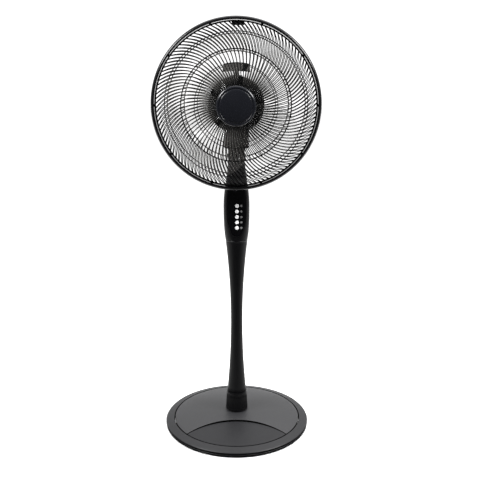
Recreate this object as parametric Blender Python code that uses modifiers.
"""Pedestal fan with a round weighted base, a waisted column, a control housing with five
push buttons, and a wire-guarded head that tilts, swings and carries a five-bladed impeller.

Frame: metres, +Z up, the base's centre on the floor at the origin, the fan faces -Y.
"Forward" below is the distance in front of the column's axis, that is -Y.
Run with: blender --background --python part.py
"""

import math

import bmesh
import bpy
from mathutils import Matrix, Vector

# --- Driving dimensions -----------------------------------------------------------------
GAP = 0.0003                # clearance between two pieces that touch on the real fan
WALL = 0.0025               # plastic wall thickness

BASE_RADIUS = 0.218
GROOVE_RADIUS = 0.192       # dark groove between the base's rim and its cover
RIM_BOTTOM_Z = 0.003
RIM_OUTER_Z = 0.0168        # the rim slopes down from its groove to its edge
GROOVE_Z = 0.022
COVER_RISE = 0.0222         # crown of the base cover above the groove
PANEL_RISE = 0.0172         # crown of the lower front panel
ARC_RADIUS = 0.242          # seam between cover and front panel
ARC_CENTRE_Y = -0.314
FOOT_HEIGHT = 0.0035

TUBE_BORE = 0.0115          # hole for the steel tube, through the weight and the socket
NUT_Z = (0.0455, 0.1045)    # fluted nut that holds the column
COLUMN_Z = (0.1050, 0.5760)
WAIST_Z = 0.335
WAIST_RADIUS = 0.01745
COLUMN_FOOT_RADIUS = 0.0290
COLUMN_TOP_RADIUS = 0.0317
SPIGOT_RADIUS = 0.0262      # lower end of the column, inside the nut
SPIGOT_Z = 0.060

# Control housing: height, half width, half depth and how square its section is.
CONTROL_SECTIONS = (
    (0.5810, 0.0322, 0.0322, 2.0),
    (0.6000, 0.0348, 0.0335, 2.3),
    (0.6300, 0.0368, 0.0340, 2.7),
    (0.6750, 0.0376, 0.0340, 2.8),
    (0.7050, 0.0365, 0.0330, 2.7),
    (0.7300, 0.0337, 0.0310, 2.5),
    (0.7600, 0.0290, 0.0280, 2.3),
    (0.8000, 0.0245, 0.0245, 2.0),
)
FASCIA_HALF_WIDTH = 0.0285
FASCIA_Z = (0.5950, 0.7420)
FASCIA_THICKNESS = 0.0020
BUTTON_X = 0.0014
BUTTON_Z = tuple(0.6208 + 0.0159 * step for step in range(5))
BUTTON_RADIUS = 0.0054
LIGHT_X = 0.0134
GLAND_Z = 0.604
CONTROL_SCREWS = ((0.645, -0.0340), (0.735, -0.0306))   # height, and the shell's surface there

TILT_Z = 0.822              # tilt hinge, across the fan
HEAD_Z = 0.9668             # the motor shaft
SHAFT_RADIUS = 0.0040
SHAFT_BORE = 0.0043
LINK_RADIUS = 0.022         # swing link's pin, from the swing pin
CRANK_CENTRE = (0.00565, 0.040)
CRANK_THROW = 0.01635

GUARD_RADIUS = 0.225
RING_FORWARD = 0.112        # plane of the guard's rim
RIM_DEPTH = 0.020
RIM_INNER = 0.2145
WIRE = 0.0024
GUARD_WIRES = 28
# Rings of each guard: radius, forward distance, and how far the wires have swirled (degrees).
FRONT_RINGS = (
    (0.0485, 0.1860, 0), (0.106, 0.1815, 7), (0.141, 0.1690, 11), (0.185, 0.1450, 20),
    (0.2128, 0.1165, 28),
)
REAR_RINGS = (
    (0.0660, 0.0537, 2), (0.106, 0.0560, 7), (0.141, 0.0600, 11), (0.185, 0.0750, 20),
    (0.2128, 0.1085, 28),
)

HOUSING_RADIUS = 0.0768
CHIN_RADIUS = 0.035         # rounded skirt under the motor housing, over the swing gear
CHIN_LENGTH = 0.034
CHIN_Z = (0.845, 0.901)
BLADES = 5
BLADE_ROOT = 0.0300
BLADE_TIP = 0.183
HUB_FORWARD = (0.084, 0.148)

# --- Scene ------------------------------------------------------------------------------
for old in list(bpy.data.objects):
    bpy.data.objects.remove(old, do_unlink=True)

fan = bpy.data.collections.new("pedestal_fan")
cutters = bpy.data.collections.new("cutters")
bpy.context.scene.collection.children.link(fan)
bpy.context.scene.collection.children.link(cutters)


def finish_material(name, colour, roughness, metallic=0.0):
    """A Principled material of one colour."""
    material = bpy.data.materials.new(name)
    material.use_nodes = True
    shader = material.node_tree.nodes["Principled BSDF"]
    shader.inputs["Base Color"].default_value = (*colour, 1.0)
    shader.inputs["Roughness"].default_value = roughness
    shader.inputs["Metallic"].default_value = metallic
    return material


BLACK_GLOSS = finish_material("black_gloss", (0.010, 0.010, 0.012), 0.25)
BLACK_SATIN = finish_material("black_satin", (0.018, 0.018, 0.020), 0.45)
CHARCOAL = finish_material("charcoal_plastic", (0.060, 0.060, 0.063), 0.50)
WIRE_PAINT = finish_material("wire_paint", (0.012, 0.012, 0.013), 0.35)
CLEAR = finish_material("smoked_clear", (0.55, 0.53, 0.50), 0.10)
BUTTON_WHITE = finish_material("button_white", (0.72, 0.72, 0.72), 0.40)
LIGHT_GREY = finish_material("light_grey", (0.20, 0.20, 0.20), 0.45)
STEEL = finish_material("steel", (0.50, 0.50, 0.50), 0.30, 1.0)
CAST_IRON = finish_material("cast_iron", (0.12, 0.12, 0.12), 0.60, 1.0)
ALUMINIUM = finish_material("aluminium", (0.62, 0.62, 0.63), 0.45, 1.0)
COPPER = finish_material("copper", (0.60, 0.25, 0.12), 0.40, 1.0)
BRONZE = finish_material("bronze", (0.45, 0.30, 0.15), 0.40, 1.0)
RUBBER = finish_material("rubber", (0.02, 0.02, 0.02), 0.85)
BOARD_GREEN = finish_material("board_green", (0.03, 0.16, 0.06), 0.50)
NYLON = finish_material("nylon", (0.75, 0.74, 0.70), 0.50)


# --- Modelling helpers ------------------------------------------------------------------
TURN = {
    "up": Matrix.Identity(4),
    "forward": Matrix.Rotation(math.pi / 2, 4, "X"),     # local +Z points forward, to -Y
    "right": Matrix.Rotation(math.pi / 2, 4, "Y"),       # local +Z points to +X
}


def add_object(name, mesh, material=None, matrix=Matrix.Identity(4)):
    """Put a mesh in the fan, or among the cutters when it has no material."""
    piece = bpy.data.objects.new(name, mesh)
    piece.matrix_world = matrix
    if material is None:
        cutters.objects.link(piece)
        piece.hide_render = True
        piece.display_type = "WIRE"
    else:
        fan.objects.link(piece)
        mesh.materials.append(material)
    return piece


def turned(name, profile, material=None, axis="up", at=(0, 0, 0), steps=20):
    """Turn a profile of (radius, height) points about an axis.

    The points run down the outside and back up the inside. A profile that ends on the
    axis stays open there, and the turning closes it.
    """
    mesh = bpy.data.meshes.new(name)
    points = [(radius, 0.0, height) for radius, height in profile]
    edges = [(i, i + 1) for i in range(len(points) - 1)]
    if profile[0][0] > 0 or profile[-1][0] > 0:
        edges.append((len(points) - 1, 0))
    mesh.from_pydata(points, edges, [])
    piece = add_object(name, mesh, material, Matrix.Translation(at) @ TURN[axis])
    screw = piece.modifiers.new("turn", "SCREW")
    screw.steps = screw.render_steps = steps
    screw.use_merge_vertices = True
    screw.merge_threshold = 0.00001
    screw.use_smooth_shade = True
    return piece


def tube(name, inner, outer, low, high, material=None, axis="up", at=(0, 0, 0), steps=20):
    """A plain round tube, or a rod when the inner radius is 0."""
    if inner:
        profile = [(outer, high), (outer, low), (inner, low), (inner, high)]
    else:
        profile = [(0, high), (outer, high), (outer, low), (0, low)]
    return turned(name, profile, material, axis, at, steps)


def box(name, low, high, material=None, bevel=0.0):
    """A box between two corners, with its edges rounded when asked."""
    size = Vector(high) - Vector(low)
    centre = (Vector(high) + Vector(low)) / 2
    form = bmesh.new()
    bmesh.ops.create_cube(form, size=1.0)
    bmesh.ops.scale(form, vec=size, verts=form.verts)
    mesh = bpy.data.meshes.new(name)
    form.to_mesh(mesh)
    form.free()
    piece = add_object(name, mesh, material, Matrix.Translation(centre))
    if bevel:
        rounding = piece.modifiers.new("round_edges", "BEVEL")
        rounding.width = bevel
        rounding.segments = 2
    return piece


def flat_solid(name, outlines, thickness, matrix, material=None):
    """A flat outline, with any holes, given a thickness about its own plane."""
    curve = bpy.data.curves.new(name, "CURVE")
    curve.dimensions = "2D"
    curve.fill_mode = "BOTH"
    curve.extrude = thickness / 2
    for outline in outlines:
        spline = curve.splines.new("POLY")
        spline.points.add(len(outline) - 1)
        for point, (x, y) in zip(spline.points, outline):
            point.co = (x, y, 0.0, 1.0)
        spline.use_cyclic_u = True
    drawn = bpy.data.objects.new(name + "_curve", curve)
    cutters.objects.link(drawn)
    bpy.context.view_layer.update()
    evaluated = drawn.evaluated_get(bpy.context.evaluated_depsgraph_get())
    mesh = bpy.data.meshes.new_from_object(evaluated)
    bpy.data.objects.remove(drawn, do_unlink=True)
    form = bmesh.new()
    form.from_mesh(mesh)
    bmesh.ops.remove_doubles(form, verts=form.verts, dist=0.00001)
    bmesh.ops.recalc_face_normals(form, faces=form.faces)
    form.to_mesh(mesh)
    form.free()
    return add_object(name, mesh, material, matrix)


def arc(centre, radius, first, last, count):
    """Points along an arc, in degrees, both ends included."""
    angles = [math.radians(first + (last - first) * i / count) for i in range(count + 1)]
    return [(centre[0] + radius * math.cos(a), centre[1] + radius * math.sin(a)) for a in angles]


def combine(piece, tool, operation):
    """Join, cut or intersect a piece with a tool, exactly."""
    change = piece.modifiers.new(tool.name, "BOOLEAN")
    change.object = tool
    change.operation = operation
    change.solver = "EXACT"


def cut(piece, tool):
    combine(piece, tool, "DIFFERENCE")


def join(piece, tool):
    combine(piece, tool, "UNION")


def joint_empty(name, at, parent=None):
    """An empty on a joint's axis, for the pieces of one moving body."""
    empty = bpy.data.objects.new(name, None)
    fan.objects.link(empty)
    empty.location = Vector(at) - (Vector(parent["centre"]) if parent else Vector())
    empty["centre"] = tuple(at)
    empty.parent = parent
    return empty


def hang(pieces, empty):
    """Make pieces move with an empty, and leave them where they are."""
    for piece in pieces:
        piece.parent = empty
        piece.matrix_parent_inverse = Matrix.Translation(-Vector(empty["centre"]))


tilt_axis = joint_empty("tilt_axis", (0, 0, TILT_Z))
swing_axis = joint_empty("swing_axis", (0, 0, HEAD_Z), tilt_axis)
crank_axis = joint_empty("crank_axis", (*CRANK_CENTRE, 0.8825), swing_axis)
link_axis = joint_empty(
    "link_axis", (CRANK_CENTRE[0] + CRANK_THROW, CRANK_CENTRE[1], 0.8778), crank_axis)
spin_axis = joint_empty("spin_axis", (0, 0, HEAD_Z), swing_axis)


# --- Base -------------------------------------------------------------------------------
def make_base():
    """Weighted plate on rubber feet, with a rim, a crowned cover and a lower front panel."""
    weight_radius, weight_top = 0.1890, 0.0098
    tube(
        "base_weight", TUBE_BORE, weight_radius, FOOT_HEIGHT + GAP, weight_top, CAST_IRON,
        steps=32)
    foot_circle, foot_radius = 0.176, 0.011
    for index in range(4):
        angle = math.radians(45 + 90 * index)
        spot = (foot_circle * math.cos(angle), foot_circle * math.sin(angle), 0)
        tube(f"foot_{index + 1}", 0, foot_radius, 0, FOOT_HEIGHT, RUBBER, at=spot, steps=12)

    inner = GROOVE_RADIUS + 0.001
    rim_profile = [
        (inner, GROOVE_Z), (BASE_RADIUS - 0.002, RIM_OUTER_Z), (BASE_RADIUS, RIM_OUTER_Z - 0.002),
        (BASE_RADIUS, RIM_BOTTOM_Z), (inner, RIM_BOTTOM_Z),
    ]
    turned("base_rim", rim_profile, CHARCOAL, steps=48)

    seam = tube("arc_cutter", 0, ARC_RADIUS, 0, 0.1, at=(0, ARC_CENTRE_Y, 0), steps=64)
    seam_inner = tube(
        "arc_keeper", 0, ARC_RADIUS - 0.001, 0, 0.1, at=(0, ARC_CENTRE_Y, 0), steps=64)
    cut(turned("base_cover", cover_profile(COVER_RISE), CHARCOAL, steps=40), seam)
    panel = turned("base_front_panel", cover_profile(PANEL_RISE), CHARCOAL, steps=40)
    combine(panel, seam_inner, "INTERSECT")


def cover_profile(rise):
    """Section of a crowned disc with a hole for the column and a turned-down edge."""
    edge = GROOVE_RADIUS - 0.0005
    hole = 0.0240
    stations = [hole + (edge - hole) * step / 3 for step in range(4)]
    crown = [(r, GROOVE_Z + rise * (1 - (r / edge) ** 2)) for r in stations]
    underside = [(min(r, edge - WALL), z - WALL) for r, z in reversed(crown)]
    lip_z = 0.0101
    return crown + [(edge, lip_z), (edge - WALL, lip_z)] + underside


# --- Column -----------------------------------------------------------------------------
def column_radius(z):
    """Two parabolas that meet at the waist."""
    if z > WAIST_Z:
        share = (z - WAIST_Z) / (COLUMN_Z[1] - WAIST_Z)
        return WAIST_RADIUS + (COLUMN_TOP_RADIUS - WAIST_RADIUS) * share ** 2
    share = (WAIST_Z - z) / (WAIST_Z - COLUMN_Z[0])
    return WAIST_RADIUS + (COLUMN_FOOT_RADIUS - WAIST_RADIUS) * share ** 2


def make_column():
    """Socket on the base, steel tube, waisted plastic column, fluted nut and trim ring."""
    socket_radius, flange_radius, socket_top = 0.0232, 0.033, 0.100
    socket_profile = [
        (socket_radius, socket_top), (socket_radius, 0.0145), (flange_radius, 0.0145),
        (flange_radius, 0.0101), (TUBE_BORE, 0.0101), (TUBE_BORE, socket_top),
    ]
    turned("column_socket", socket_profile, STEEL)
    tube("column_tube", 0.0095, TUBE_BORE - GAP, 0.0055, 0.640, STEEL, steps=16)

    heights = [COLUMN_Z[1] - (COLUMN_Z[1] - COLUMN_Z[0]) * step / 8 for step in range(9)]
    outside = [(column_radius(z), z) for z in heights]
    spigot = [
        (SPIGOT_RADIUS, COLUMN_Z[0]), (SPIGOT_RADIUS, SPIGOT_Z), (SPIGOT_RADIUS - WALL, SPIGOT_Z),
        (SPIGOT_RADIUS - WALL, COLUMN_Z[0]),
    ]
    inside = [(column_radius(z) - WALL, z) for z in reversed(heights[:-1])]
    turned("column", outside + spigot + inside, BLACK_SATIN)

    make_column_nut()
    tube("seam_ring", 0.0245, 0.0321, COLUMN_Z[1] + GAP, 0.5807, BLACK_GLOSS)


def make_column_nut():
    """Tapered nut with flutes to grip, screwed down on the base's socket."""
    flutes = 24
    form = bmesh.new()
    bmesh.ops.create_cone(
        form, cap_ends=True, segments=2 * flutes, radius1=0.0335, radius2=0.0302,
        depth=NUT_Z[1] - NUT_Z[0])
    for vert in form.verts:
        turn = round(math.atan2(vert.co.y, vert.co.x) / (math.pi / flutes))
        if turn % 2:
            vert.co.xy *= 0.975
    mesh = bpy.data.meshes.new("column_nut")
    form.to_mesh(mesh)
    form.free()
    middle = Matrix.Translation((0, 0, (NUT_Z[0] + NUT_Z[1]) / 2))
    nut = add_object("column_nut", mesh, BLACK_SATIN, middle)
    cut(nut, tube("nut_bore", 0, SPIGOT_RADIUS + GAP, 0, 0.2, steps=28))


# --- Control housing --------------------------------------------------------------------
def lofted_wall(name, first, last, count, thickness, material):
    """Part of the control housing's wall, between two angles, lofted through its sections."""
    form = bmesh.new()
    rows = []
    for z, half_width, half_depth, power in CONTROL_SECTIONS:
        row = []
        for i in range(count + 1):
            angle = math.radians(first + (last - first) * i / count)
            c, s = math.cos(angle), math.sin(angle)
            x = half_width * math.copysign(abs(c) ** (2 / power), c)
            y = half_depth * math.copysign(abs(s) ** (2 / power), s)
            row.append(form.verts.new((x, y, z)))
        rows.append(row)
    for low, high in zip(rows, rows[1:]):
        for i in range(count):
            form.faces.new((low[i], low[i + 1], high[i + 1], high[i]))
    mesh = bpy.data.meshes.new(name)
    form.to_mesh(mesh)
    form.free()
    wall = add_object(name, mesh, material)
    skin = wall.modifiers.new("wall", "SOLIDIFY")
    skin.thickness = thickness
    skin.offset = -1
    skin.use_even_offset = True
    return wall


def fascia_outline(margin):
    """A panel with a half-round lower end, grown by a margin, in X and Z."""
    half = FASCIA_HALF_WIDTH + margin
    low = FASCIA_Z[0] + FASCIA_HALF_WIDTH
    corner = 0.010
    top = FASCIA_Z[1] + margin
    return (
        arc((0, low), half, 180, 360, 16)
        + arc((half - corner, top - corner), corner, 0, 90, 4)
        + arc((corner - half, top - corner), corner, 90, 180, 4))


def make_control_housing():
    """Two shells, the glossy fascia, five buttons, light guide, board and capacitor."""
    facing = Matrix.Translation((0, -0.03, 0)) @ TURN["forward"]
    opening = flat_solid("fascia_opening", [fascia_outline(0.0004)], 0.03, facing)
    keeper = flat_solid("fascia_keeper", [fascia_outline(0)], 0.03, facing)

    seam_angle = math.degrees(2.5 * GAP / 0.034)
    front = lofted_wall(
        "control_front", 180 + seam_angle, 360 - seam_angle, 14, WALL, BLACK_SATIN)
    cut(front, opening)
    rear = lofted_wall("control_rear", seam_angle, 180 - seam_angle, 12, WALL, BLACK_SATIN)
    fascia = lofted_wall("control_panel", 195, 345, 12, FASCIA_THICKNESS, BLACK_GLOSS)
    combine(fascia, keeper, "INTERSECT")

    for index, z in enumerate(BUTTON_Z):
        hole = tube(
            f"button_hole_{index + 1}", 0, BUTTON_RADIUS + 0.0004, 0.02, 0.05, axis="forward",
            at=(BUTTON_X, 0, z), steps=14)
        cut(fascia, hole)
        make_button(f"button_{index + 1}", z)
        light_hole = tube(
            f"light_hole_{index + 1}", 0, 0.0026, 0.02, 0.05, axis="forward",
            at=(LIGHT_X, 0, z), steps=8)
        cut(fascia, light_hole)

    strip = box(
        "light_guide", (LIGHT_X - 0.003, -0.0286, BUTTON_Z[0] - 0.006),
        (LIGHT_X + 0.003, -0.0268, BUTTON_Z[-1] + 0.006), LIGHT_GREY)
    for index, z in enumerate(BUTTON_Z):
        join(strip, tube(
            f"light_pipe_{index + 1}", 0, 0.0020, 0.0278, 0.0321, axis="forward",
            at=(LIGHT_X, 0, z), steps=8))

    box("control_board", (-0.019, -0.0225, 0.608), (0.019, -0.0209, 0.705), BOARD_GREEN)
    box("run_capacitor", (-0.020, -0.009, 0.662), (0.020, 0.009, 0.692), BLACK_SATIN, 0.002)

    make_rear_fittings(rear)


def make_button(name, z):
    """A round button, with a flange behind the fascia and a stem towards its switch."""
    front_face = 0.0342
    profile = [
        (0, front_face), (BUTTON_RADIUS - 0.0008, front_face), (BUTTON_RADIUS, front_face - 0.0008),
        (BUTTON_RADIUS, 0.0306), (0.0068, 0.0306), (0.0068, 0.0296), (0.0030, 0.0296),
        (0.0030, 0.0246), (0, 0.0246),
    ]
    turned(name, profile, BUTTON_WHITE, "forward", (BUTTON_X, 0, z), 12)


def make_rear_fittings(rear):
    """Cord gland and the two screws that hold the rear shell."""
    cut(rear, tube("gland_hole", 0, 0.0063, -0.05, -0.02, axis="forward", at=(0, 0, GLAND_Z)))
    gland_profile = [
        (0.0035, -0.0230), (0.0060, -0.0230), (0.0060, -0.0345), (0.0090, -0.0345),
        (0.0090, -0.0365), (0.0055, -0.0400), (0.0035, -0.0400),
    ]
    turned("cord_gland", gland_profile, RUBBER, "forward", (0, 0, GLAND_Z), 12)
    for index, (z, surface) in enumerate(CONTROL_SCREWS):
        hole = tube(
            f"screw_hole_{index + 1}", 0, 0.0022, -0.05, -0.02, axis="forward", at=(0, 0, z),
            steps=12)
        cut(rear, hole)
        head_bottom = surface - GAP
        screw_profile = [
            (0, -0.024), (0.0018, -0.024), (0.0018, head_bottom), (0.0036, head_bottom),
            (0.0036, head_bottom - 0.0012), (0.0022, head_bottom - 0.0020),
            (0, head_bottom - 0.0020),
        ]
        turned(f"control_screw_{index + 1}", screw_profile, STEEL, "forward", (0, 0, z), 12)


# --- Neck -------------------------------------------------------------------------------
def make_neck():
    """Tongue on the stand, yoke that tilts on it, and the upright bore of the swing pin."""
    bolt_hole = 0.0043
    bracket = tube("tilt_bracket", 0, 0.0212, 0.765, 0.8035, BLACK_SATIN)
    tongue_outline = (
        [(-0.013, 0.800), (0.013, 0.800)] + arc((0, TILT_Z), 0.013, 0, 180, 12))
    sideways = Matrix.Rotation(math.pi / 2, 4, "Z") @ TURN["forward"]
    join(bracket, flat_solid("tongue", [tongue_outline], 0.015, sideways))
    through = tube(
        "tilt_bore", 0, bolt_hole, -0.05, 0.05, axis="right", at=(0, 0, TILT_Z), steps=16)
    cut(bracket, through)

    half_width = 0.0235
    yoke = tube(
        "neck_yoke", 0, 0.0165, -half_width, half_width, BLACK_SATIN, axis="right",
        at=(0, 0, TILT_Z))
    join(yoke, box("yoke_block", (-half_width, -0.0165, TILT_Z), (half_width, 0.0165, 0.8395)))
    hub_profile = [
        (0, 0.8840), (0.0090, 0.8840), (0.0090, 0.8655), (0.0165, 0.8640), (0.0165, 0.8425),
        (0.0245, 0.8425), (0.0245, 0.8375), (0, 0.8375),
    ]
    join(yoke, turned("yoke_hub", hub_profile))
    join(yoke, box("yoke_ear", (0.004, -0.0042, 0.8650), (0.0262, 0.0042, 0.8692)))
    join(yoke, tube(
        "link_stud", 0, 0.0025, 0.8680, 0.8752, at=(LINK_RADIUS, 0, 0), steps=12))
    cut(yoke, box("yoke_slot", (-0.0082, -0.03, 0.80), (0.0082, 0.03, 0.8365)))
    cut(yoke, tube("swing_bore", 0, 0.0048, 0.8445, 0.90, steps=16))
    cut(yoke, through)

    shank = bolt_hole - GAP
    bolt_profile = [
        (0, 0.0285), (shank, 0.0285), (shank, -half_width - GAP), (0.0075, -half_width - GAP),
        (0.0075, -0.0275), (0.0060, -0.0285), (0, -0.0285),
    ]
    bolt = turned("tilt_bolt", bolt_profile, STEEL, "right", (0, 0, TILT_Z), 16)
    hexagon, thread = arc((0, 0), 0.0075, 0, 300, 5), arc((0, 0), shank + GAP, 0, 330, 11)
    nut_matrix = Matrix.Translation((half_width + GAP + 0.002, 0, TILT_Z)) @ TURN["right"]
    nut = flat_solid("tilt_nut", [hexagon, thread], 0.004, nut_matrix, STEEL)
    washer = tube("swing_washer", 0.0050, 0.0090, 0.8843, 0.8853, NYLON, steps=16)
    hang([yoke, bolt, nut, washer], tilt_axis)


# --- Head: frame and motor --------------------------------------------------------------
def chin_outline(radius):
    """Two half circles, one on the swing pin and one behind it, in X and Y."""
    return arc((0, 0), radius, 180, 360, 12) + arc((0, CHIN_LENGTH), radius, 0, 180, 12)


def make_head_frame():
    """Bracket under the motor, swing pin in it, and the stepping motor that swings the head."""
    plate_matrix = Matrix.Translation((0, 0, 0.8881))
    pin_hole = arc((0, 0), 0.0048, 0, 330, 11)
    shaft_hole = arc(CRANK_CENTRE, 0.0032, 0, 330, 11)
    plate = flat_solid(
        "head_frame", [chin_outline(0.0315), pin_hole, shaft_hole], 0.005, plate_matrix,
        ALUMINIUM)
    join(plate, box("motor_saddle", (-0.020, -0.024, 0.889), (0.020, -0.010, 0.9203)))
    pin_profile = [
        (0, 0.8940), (0.0085, 0.8940), (0.0085, 0.8909), (0.0045, 0.8909), (0.0045, 0.8448),
        (0, 0.8448),
    ]
    pin = turned("swing_pin", pin_profile, STEEL, steps=16)
    gearbox = tube("swing_motor", 0, 0.0178, 0.8909, 0.9059, STEEL, at=(*CRANK_CENTRE, 0))
    hang([plate, pin, gearbox], swing_axis)

    crank = tube("crank", 0, 0.0195, 0.8800, 0.8850, NYLON, at=(*CRANK_CENTRE, 0))
    join(crank, tube("crank_shaft", 0, 0.0025, 0.8840, 0.8905, at=(*CRANK_CENTRE, 0), steps=12))
    crank_pin_spot = (CRANK_CENTRE[0] + CRANK_THROW, CRANK_CENTRE[1], 0)
    join(crank, tube("crank_pin", 0, 0.0020, 0.8762, 0.8810, at=crank_pin_spot, steps=12))
    hang([crank], crank_axis)

    half = 0.0035
    reach = CRANK_CENTRE[1]
    bar = arc((LINK_RADIUS, 0), half, 180, 360, 8) + arc((LINK_RADIUS, reach), half, 0, 180, 8)
    eye = arc((LINK_RADIUS, reach), 0.0023, 0, 330, 11)
    link_matrix = Matrix.Translation((0, 0, 0.87775))
    link = flat_solid("swing_link", [bar, eye], 0.0039, link_matrix, STEEL)
    hang([link], link_axis)


def make_motor():
    """End caps, stator, windings and bearings of the shaded induction motor."""
    at = (0, 0, HEAD_Z)
    bearing_seat = 0.0088
    front_cap_profile = [
        (bearing_seat, 0.0740), (0.0160, 0.0740), (0.0160, 0.0330), (0.0460, 0.0330),
        (0.0460, 0.0043), (0.0430, 0.0043), (0.0430, 0.0300), (bearing_seat, 0.0300),
    ]
    rear_cap_profile = [
        (bearing_seat, -0.0480), (0.0430, -0.0480), (0.0430, -0.0223), (0.0460, -0.0223),
        (0.0460, -0.0510), (0.0160, -0.0510), (0.0160, -0.0600), (bearing_seat, -0.0600),
    ]
    pieces = [
        turned("motor_front_cap", front_cap_profile, ALUMINIUM, "forward", at),
        turned("motor_rear_cap", rear_cap_profile, ALUMINIUM, "forward", at),
        tube("stator_core", 0.0245, 0.0460, -0.0220, 0.0040, STEEL, "forward", at),
        tube("winding_front", 0.0270, 0.0400, 0.0043, 0.0200, COPPER, "forward", at),
        tube("winding_rear", 0.0270, 0.0400, -0.0380, -0.0223, COPPER, "forward", at),
        tube("bearing_front", SHAFT_BORE, 0.0085, 0.0400, 0.0520, BRONZE, "forward", at, 16),
        tube("bearing_rear", SHAFT_BORE, 0.0085, -0.0590, -0.0490, BRONZE, "forward", at, 16),
    ]
    hang(pieces, swing_axis)


def make_housing():
    """Front plate and rear dome of the motor housing, with the chin over the swing gear."""
    at = (0, 0, HEAD_Z)
    front_profile = [
        (0.0163, 0.0520), (HOUSING_RADIUS - 0.001, 0.0520), (HOUSING_RADIUS, 0.0510),
        (HOUSING_RADIUS, 0.0450), (HOUSING_RADIUS - WALL, 0.0450),
        (HOUSING_RADIUS - WALL, 0.0495), (0.0163, 0.0495),
    ]
    front = turned("housing_front", front_profile, BLACK_SATIN, "forward", at, 28)

    dome = [(0.0765, 0.0447), (0.0765, -0.036), (0.0735, -0.062), (0.0655, -0.082),
            (0.0500, -0.094), (0.0300, -0.0995), (0, -0.1010)]
    inside = [(max(0, r - WALL), z + (WALL if z < -0.05 else 0)) for r, z in reversed(dome)]
    rear = turned("housing_rear", inside + dome, BLACK_SATIN, "forward", at, 28)
    chin_height = CHIN_Z[1] - CHIN_Z[0]
    chin_matrix = Matrix.Translation((0, 0, sum(CHIN_Z) / 2))
    join(rear, flat_solid("chin", [chin_outline(CHIN_RADIUS)], chin_height, chin_matrix))
    hollow_matrix = Matrix.Translation((0, 0, 0.885))
    cut(rear, flat_solid(
        "chin_hollow", [chin_outline(CHIN_RADIUS - WALL)], 0.09, hollow_matrix))
    hang([front, rear, make_handle()], swing_axis)


def make_handle():
    """Arched grip on a short fin, on a saddle that follows the top of the housing."""
    half, height = 0.039, 0.0135
    centre_z = HEAD_Z + 0.1005
    across = [half * (step / 6 - 1) for step in range(13)]
    top = [(x * 0.93, centre_z + height - 0.0045 * (x / half) ** 2) for x in reversed(across)]
    bottom = [(x, centre_z - height + 0.0030 * (1 - (x / half) ** 2)) for x in across]
    standing = Matrix.Translation((0, 0.022, 0)) @ TURN["forward"]
    grip = flat_solid("carry_handle", [bottom + top], 0.020, standing, BLACK_SATIN)
    join(grip, box("grip_fin", (-0.0055, 0.008, 1.0440), (0.0055, 0.036, centre_z)))
    join(grip, box("grip_saddle", (-0.016, 0.004, 1.0390), (0.016, 0.036, 1.0458)))
    cut(grip, tube(
        "saddle_cutter", 0, HOUSING_RADIUS + GAP, -0.06, 0.02, axis="forward",
        at=(0, 0, HEAD_Z), steps=64))
    return grip


# --- Head: guards -----------------------------------------------------------------------
def wire_guard(name, rings, outwards):
    """A dished net of wires: rings joined by wires that swirl as they run outwards."""
    form = bmesh.new()
    rows = []
    for radius, forward, swirl in rings:
        row = []
        for i in range(GUARD_WIRES):
            angle = 2 * math.pi * i / GUARD_WIRES + math.radians(swirl)
            row.append(form.verts.new((
                radius * math.cos(angle), radius * math.sin(angle), forward)))
        rows.append(row)
    for inner, outer in zip(rows, rows[1:]):
        for i in range(GUARD_WIRES):
            j = (i + 1) % GUARD_WIRES
            form.faces.new((inner[i], outer[i], outer[j], inner[j])[::outwards])
    mesh = bpy.data.meshes.new(name)
    form.to_mesh(mesh)
    form.free()
    matrix = Matrix.Translation((0, 0, HEAD_Z)) @ TURN["forward"]
    guard = add_object(name, mesh, WIRE_PAINT, matrix)
    wires = guard.modifiers.new("wires", "WIREFRAME")
    wires.thickness = WIRE
    wires.use_boundary = True
    wires.use_replace = True
    wires.use_even_offset = True
    wires.use_relative_offset = False
    return guard


def make_guards():
    """Front and rear guards, their rim, clip, plate and nut, and the badge-free front cap."""
    at = (0, 0, HEAD_Z)
    front = wire_guard("front_guard", FRONT_RINGS, 1)
    rear = wire_guard("rear_guard", REAR_RINGS, -1)

    low, high = RING_FORWARD - RIM_DEPTH / 2, RING_FORWARD + RIM_DEPTH / 2
    round_off = 0.0025
    rim_profile = [
        (RIM_INNER, high), (GUARD_RADIUS - round_off, high), (GUARD_RADIUS, high - round_off),
        (GUARD_RADIUS, low + round_off), (GUARD_RADIUS - round_off, low), (RIM_INNER, low),
    ]
    rim = turned("guard_rim", rim_profile, BLACK_GLOSS, "forward", at, 56)
    clip = box(
        "rim_clip", (-0.011, -0.1150, HEAD_Z + 0.2015), (0.021, -0.1100, HEAD_Z + 0.2128),
        BLACK_SATIN, 0.0012)

    plate = tube("rear_guard_plate", 0.0165, 0.0638, 0.0525, 0.0540, STEEL, "forward", at, 28)
    nut_profile = [
        (0.0165, 0.0640), (0.0300, 0.0640), (0.0340, 0.0600), (0.0340, 0.0543),
        (0.0165, 0.0543),
    ]
    nut = turned("guard_nut", nut_profile, BLACK_SATIN, "forward", at)

    cap_profile = [
        (0, 0.1972), (0.0240, 0.1964), (0.0425, 0.1938), (0.0440, 0.1926), (0.0490, 0.1915),
        (0.0510, 0.1895), (0.0510, 0.1875), (0, 0.1875),
    ]
    cap = turned("front_cap", cap_profile, BLACK_GLOSS, "forward", at, 28)
    retainer_profile = [
        (0, 0.1872), (0.0440, 0.1872), (0.0440, 0.1842), (0.0510, 0.1842), (0.0510, 0.1825),
        (0, 0.1825),
    ]
    retainer = turned("cap_retainer", retainer_profile, BLACK_SATIN, "forward", at, 24)
    hang([front, rear, rim, clip, plate, nut, cap, retainer], swing_axis)


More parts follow.
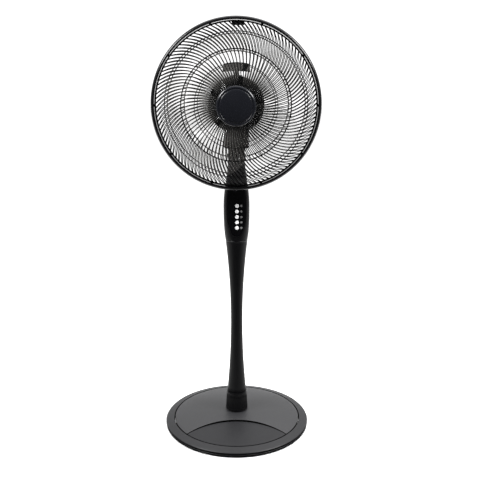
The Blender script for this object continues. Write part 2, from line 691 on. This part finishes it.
# --- Rotor ------------------------------------------------------------------------------
def blade_point(radius, along):
    """A point on a blade: along runs from 0 at the leading edge to 1 at the trailing edge."""
    share = (radius - BLADE_ROOT) / (BLADE_TIP - BLADE_ROOT)
    span = math.radians(46 + 22 * math.sin(math.pi * share) - 6 * share)
    sweep = math.radians(-19 * share)
    angle = sweep + span * (along - 0.5)
    depth = 0.052 - 0.020 * share
    camber = 0.006 * math.sin(math.pi * along)
    forward = 0.1165 + depth * (along - 0.5) + camber - 0.003 * share
    return radius * math.cos(angle), radius * math.sin(angle), forward


def make_blades(name):
    """Five thin swept blades, as sheets with a thickness."""
    radial, chord = 6, 4
    form = bmesh.new()
    for index in range(BLADES):
        turn = Matrix.Rotation(math.radians(49 + 360 * index / BLADES), 3, "Z")
        grid = []
        for i in range(radial + 1):
            radius = BLADE_ROOT + (BLADE_TIP - BLADE_ROOT) * i / radial
            grid.append([
                form.verts.new(turn @ Vector(blade_point(radius, j / chord)))
                for j in range(chord + 1)])
        for i in range(radial):
            for j in range(chord):
                form.faces.new((
                    grid[i][j], grid[i + 1][j], grid[i + 1][j + 1], grid[i][j + 1]))
    mesh = bpy.data.meshes.new(name)
    form.to_mesh(mesh)
    form.free()
    blades = add_object(
        name, mesh, None, Matrix.Translation((0, 0, HEAD_Z)) @ TURN["forward"])
    skin = blades.modifiers.new("thickness", "SOLIDIFY")
    skin.thickness = 0.0016
    skin.offset = 0
    return blades


def make_rotor():
    """Rotor, shaft, cross pin, impeller and the nut that holds the impeller on."""
    at = (0, 0, HEAD_Z)
    bore = SHAFT_BORE
    rear, front = HUB_FORWARD
    hub_profile = [
        (bore, front), (0.0270, front), (0.0320, front - 0.006), (0.0320, rear),
        (0.0285, rear), (0.0285, front - 0.008), (0.0100, front - 0.008), (0.0100, rear + 0.004),
        (bore, rear + 0.004),
    ]
    impeller = turned("impeller", hub_profile, CLEAR, "forward", at, 24)
    join(impeller, make_blades("blades"))
    pin_forward = 0.0893
    cut(impeller, box(
        "pin_slot", (-0.012, -pin_forward - 0.0018, HEAD_Z - 0.0017),
        (0.012, -0.08, HEAD_Z + 0.0017)))

    shaft = tube("motor_shaft", 0, SHAFT_RADIUS, -0.0590, 0.1580, STEEL, "forward", at, 16)
    pin_spot = (0, -pin_forward, HEAD_Z)
    cut(shaft, tube("pin_bore", 0, 0.0016, -0.02, 0.02, axis="right", at=pin_spot, steps=12))
    pin = tube("drive_pin", 0, 0.0013, -0.009, 0.009, STEEL, "right", pin_spot, 12)
    core = tube("rotor_core", bore, 0.0235, -0.0200, 0.0020, STEEL, "forward", at)
    nut_profile = [
        (0, 0.1665), (0.0120, 0.1655), (0.0170, 0.1600), (0.0185, 0.1484), (bore, 0.1484),
        (bore, 0.1585), (0, 0.1585),
    ]
    nut = turned("spinner_nut", nut_profile, BLACK_SATIN, "forward", at, 20)
    hang([impeller, shaft, pin, core, nut], spin_axis)


make_base()
make_column()
make_control_housing()
make_neck()
make_head_frame()
make_motor()
make_housing()
make_guards()
make_rotor()
